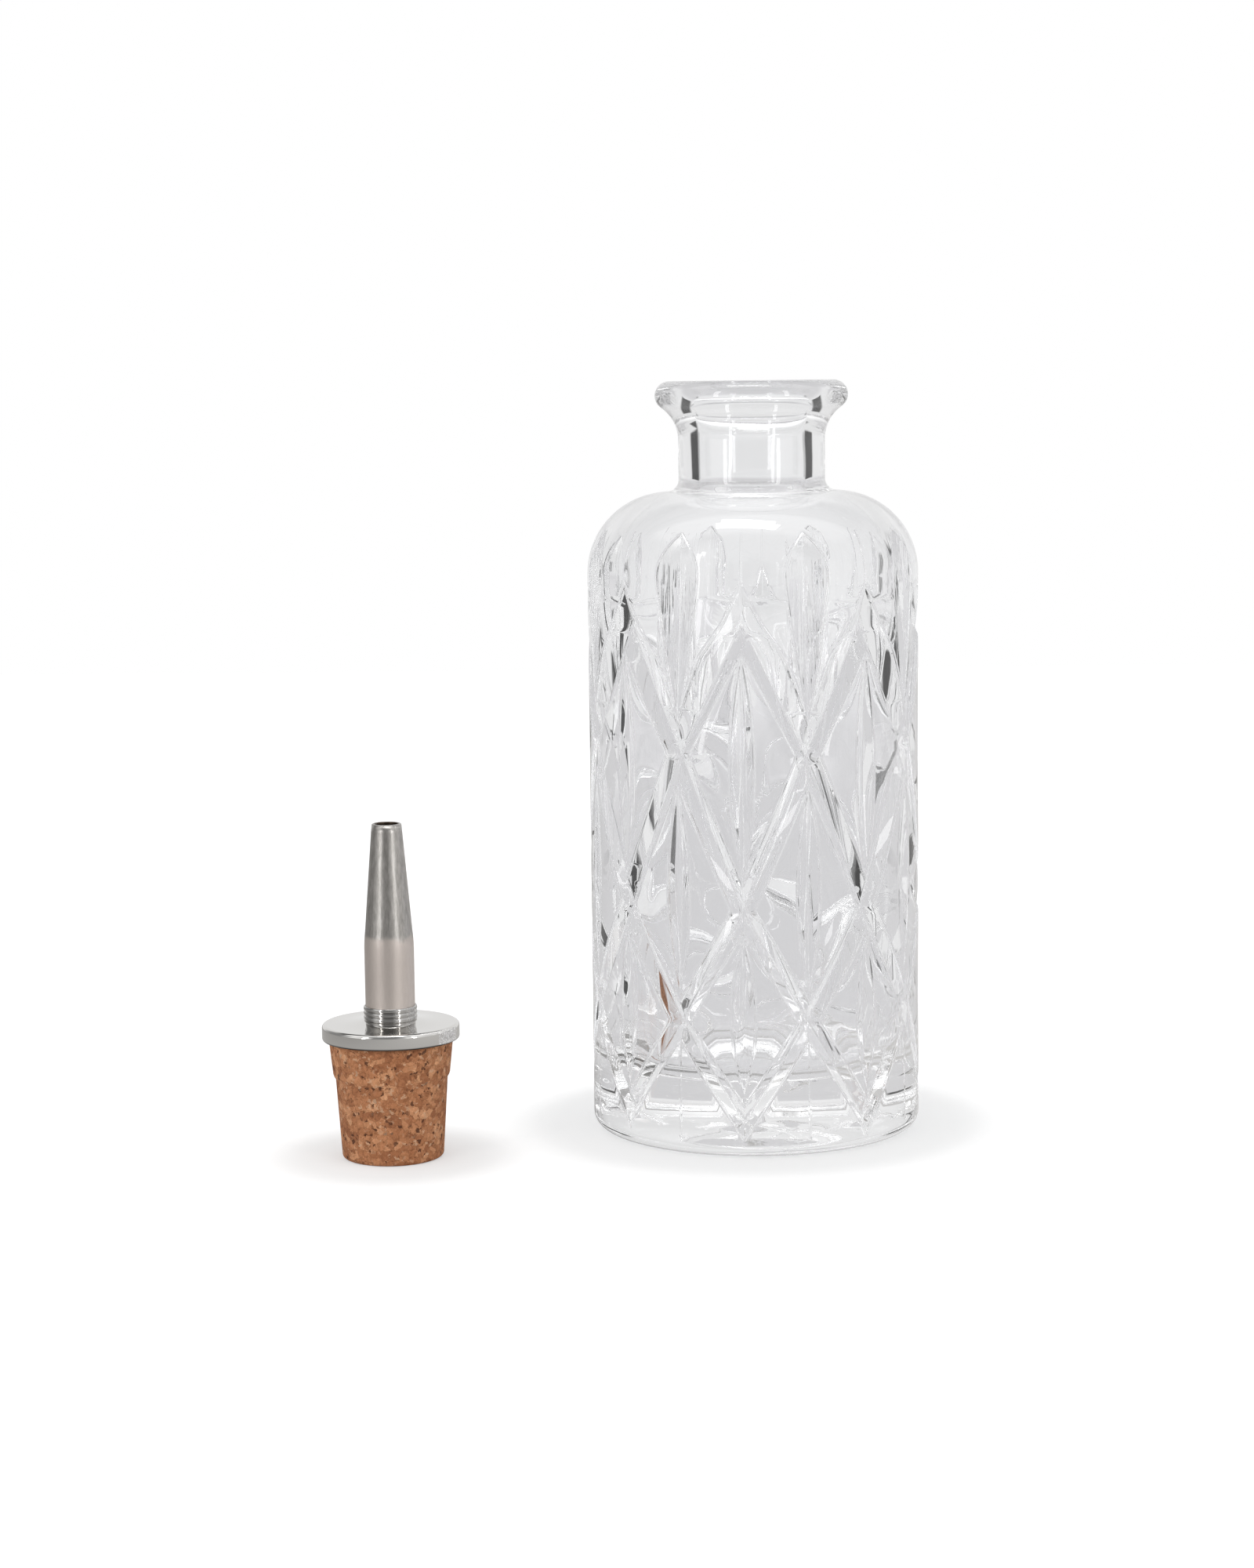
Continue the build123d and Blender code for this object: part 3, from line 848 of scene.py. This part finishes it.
def floor_finish():
    """White to the eye except in a painted shadow round the feet, matt for the light, pale in glass, and
    mirrored darker in metal with painted shade.
    """
    material, tree, shader = new_finish("pale_floor")
    tree.nodes.remove(shader)
    place = object_place(tree)
    distance = vector_maths(tree, "LENGTH", [(0, place)]).outputs["Value"]
    from_cork = vector_maths(tree, "DISTANCE", [(0, place), (1, (*stopper_centre, 0))]).outputs["Value"]
    # its glow is lowered close round the two feet: a painted shadow, on top of the real shade that the feet
    # cast on its matt part
    far = mapped(tree, distance, 0.08, 0.8, low=0.43, high=0.63)
    outside_bottle_painted_shadow = eased(tree, distance, body_radius + painted_shadow_starts, body_radius + bottle_painted_shadow_ends)
    outside_cork_painted_shadow = eased(tree, from_cork, cork_foot_radius + painted_shadow_starts, cork_foot_radius + cork_painted_shadow_ends)
    outside_painted_shadows = maths(tree, "MULTIPLY", outside_bottle_painted_shadow, outside_cork_painted_shadow)
    lift = maths(tree, "MULTIPLY_ADD", outside_painted_shadows, lift_beyond_painted_shadow, far)
    seen = node(tree, "ShaderNodeAddShader", [(0, glow(tree, grey(1), lift)), (1, matt(tree, 0.5))])
    # through the glass it shows a little lavender, and paler where it meets the backdrop
    through = glow(tree, floor_seen_in_glass, mapped(tree, distance, 0.45, 0.85, low=0.665, high=0.80))
    # metal mirrors it darker, with painted shade: more so to the left, and a painted shadow close round the
    # cork
    brightness = mapped(tree, parts(tree, place)["X"], -0.26, 0.08, low=0.36, high=0.60)
    shade = mapped(tree, from_cork, 0.02, 0.085, low=0.05, high=1.0)
    mirrored = glow(tree, floor_seen_in_metal, maths(tree, "MULTIPLY", brightness, shade))
    rays = node(tree, "ShaderNodeLightPath").outputs
    surface = mix_shader(tree, rays["Is Camera Ray"], matt(tree, 0.8), seen.outputs["Shader"])
    surface = mix_shader(tree, rays["Is Glossy Ray"], surface, mirrored)
    show(tree, mix_shader(tree, rays["Is Transmission Ray"], surface, through))
    return material


def make_floor():
    """A plain table top under the object."""
    bpy.ops.object.select_all(action="DESELECT")
    bpy.ops.mesh.primitive_plane_add(size=floor_size, location=(0, 0, 0))
    floor = bpy.context.object
    floor.name = "floor"
    dress(floor, floor_finish())


# Brightness of the room by direction: degrees from straight behind the object, positive to the right,
# with the backdrop in the middle and the camera at the ends. Metal and glass mirror the first; the second
# shows through the glass, and the third does at eye level, between the table's edge and the soft boxes
mirrored_room = ((-180, 0.26), (-155, 0.30), (-146, 0.95), (-118, 0.95), (-108, 0.60), (-92, 0.28),
                 (-66, 0.28), (-48, 0.50), (-37, 0.86), (37, 0.86), (46, 0.70), (90, 0.70), (98, 1.0),
                 (101, 0.76), (119, 0.84), (124, 1.0), (146, 1.0), (152, 0.55), (166, 0.26), (180, 0.26))
seen_through_room = ((-180, 0.55), (-150, 0.55), (-140, 0.84), (-37, 0.80), (0, 0.79), (37, 0.79),
                     (140, 0.82), (150, 0.55), (180, 0.55))
seen_through_at_eye_level = ((-180, 0.3), (-150, 0.3), (-140, 0.84), (-66, 0.84), (-61, 0.05),
                             (-42, 0.05), (-37, 0.83), (0, 0.87), (37, 0.83), (42, 0.05), (61, 0.05),
                             (66, 0.82), (140, 0.82), (150, 0.3), (180, 0.3))

# Brightness by height: eye level is a share from 0, 30 degrees down, to 1, 30 degrees up, and the others go
# by the upward part of the direction, 1 being straight up
eye_level_share = ((0.34, 0.0), (0.38, 1.0), (0.61, 1.0), (0.66, 0.0))
overhead_share = ((0.30, 0.0), (0.55, 1.0))
seen_through_overhead = ((0.50, 0.90), (0.72, 1.15), (0.90, 1.45), (1.0, 1.65))
ceiling_share = ((0.60, 0.0), (0.72, 1.0))

# Metal mirrors a dark ceiling with a bright band across it, from the back of the room, 0, to the front, 1
mirrored_ceiling = ((0.42, 0.07), (0.46, 1.3), (0.60, 1.3), (0.65, 0.12), (0.82, 0.16))

# Light that reaches matt surfaces from all round, and the height that the lamps are aimed at
room_light = 0.86
aim_height = 0.06


def make_room():
    """A plain studio: a white backdrop behind the object, and soft boxes in a dim room before it."""
    world = bpy.data.worlds.new("studio")
    bpy.context.scene.world = world
    world.use_nodes = True
    tree = world.node_tree
    tree.nodes.clear()
    x, y, z = parts(tree, node(tree, "ShaderNodeTexCoord").outputs["Generated"])
    round_share = mapped(tree, maths(tree, "ARCTAN2", x, y), -pi, pi)

    def round_the_room(stops):
        return grey_ramp(tree, round_share, [((degrees + 180) / 360, value) for degrees, value in stops])

    eye_level = grey_ramp(tree, mapped(tree, z, -0.5, 0.5), eye_level_share)
    through = mix_colour(tree, eye_level, round_the_room(seen_through_room),
                         round_the_room(seen_through_at_eye_level))
    overhead = grey_ramp(tree, z, overhead_share)
    through = mix_colour(tree, overhead, through, grey_ramp(tree, z, seen_through_overhead))
    over_share = mapped(tree, maths(tree, "ARCTAN2", z, y), 0.0, pi)
    arch = grey_ramp(tree, over_share, mirrored_ceiling)
    mirrored = mix_colour(tree, grey_ramp(tree, z, ceiling_share), round_the_room(mirrored_room), arch)
    rays = node(tree, "ShaderNodeLightPath").outputs
    room = mix_colour(tree, rays["Is Glossy Ray"], grey(room_light), mirrored)
    room = mix_colour(tree, rays["Is Transmission Ray"], room, through)
    room = mix_colour(tree, rays["Is Camera Ray"], room, grey(1.0))
    light = node(tree, "ShaderNodeBackground", [("Color", room), ("Strength", 1.0)])
    node(tree, "ShaderNodeOutputWorld", [("Surface", light.outputs["Background"])])


def make_lamp(name, place, width, height, radiance):
    """A soft box that faces the object."""
    lamp = bpy.data.lights.new(name, "AREA")
    lamp.shape = "RECTANGLE"
    lamp.size, lamp.size_y = width, height
    lamp.energy = radiance * pi * width * height
    made = bpy.data.objects.new(name, lamp)
    bpy.context.scene.collection.objects.link(made)
    made.location = place
    aim = Vector((0, 0, aim_height)) - Vector(place)
    made.rotation_euler = aim.to_track_quat("-Z", "Y").to_euler()
    made.visible_camera = False


def around(azimuth, distance, height):
    """A place round the object; azimuth 0 is towards the camera, in degrees, positive to its right."""
    turn = radians(azimuth)
    return (sin(turn) * distance, -cos(turn) * distance, height)


def make_camera():
    """The photograph's own view: eye level with the lip, looking slightly down."""
    eye = Vector((-0.0035, -0.5594, 0.132))
    pitch, yaw, roll = 0.126, -0.034, -0.012
    forward = Vector((sin(yaw) * cos(pitch), cos(yaw) * cos(pitch), -sin(pitch)))
    level = Vector((cos(yaw), -sin(yaw), 0))
    upright = level.cross(forward)
    right = cos(roll) * level + sin(roll) * upright
    up = -sin(roll) * level + cos(roll) * upright
    data = bpy.data.cameras.new("camera")
    data.sensor_width = 36
    data.lens = 72.92
    data.clip_start, data.clip_end = 0.01, 50
    camera = bpy.data.objects.new("camera", data)
    bpy.context.scene.collection.objects.link(camera)
    turn = Matrix((right, up, -forward)).transposed().to_4x4()
    camera.matrix_world = Matrix.Translation(eye) @ turn
    bpy.context.scene.camera = camera


dress(make_glass_bottle(), glass_finish())
dress(make_cork(), cork_finish())
dress(make_disc(), polished_finish("mirror_steel", disc_tint))
dress(make_collar(), polished_finish("beaded_steel", collar_painted_shade_tint))
dress(make_spout(), satin_finish("satin_spout", spout_tip_radius - spout_wall / 2))
satin_steel = satin_finish("satin_steel")
for hidden_piece in ("stem_tube", "drip_restrictor"):
    for material_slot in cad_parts[hidden_piece].material_slots:
        material_slot.material = satin_steel

make_floor()
make_room()
make_lamp("overhead_softbox", (-0.028, -0.145, 0.80), 0.385, 0.13, 5.0)
make_lamp("left_softbox", around(-42, 0.80, 0.28), 0.09, 0.60, 4.4)
make_lamp("right_softbox", around(42, 0.80, 0.28), 0.09, 0.60, 4.4)
make_camera()

bpy.context.scene.view_settings.view_transform = "Standard"

# cut glass throws light about inside its wall many times before it lets it out
light_paths = bpy.context.scene.cycles
light_paths.max_bounces = 28
light_paths.transmission_bounces = 28
light_paths.glossy_bounces = 20
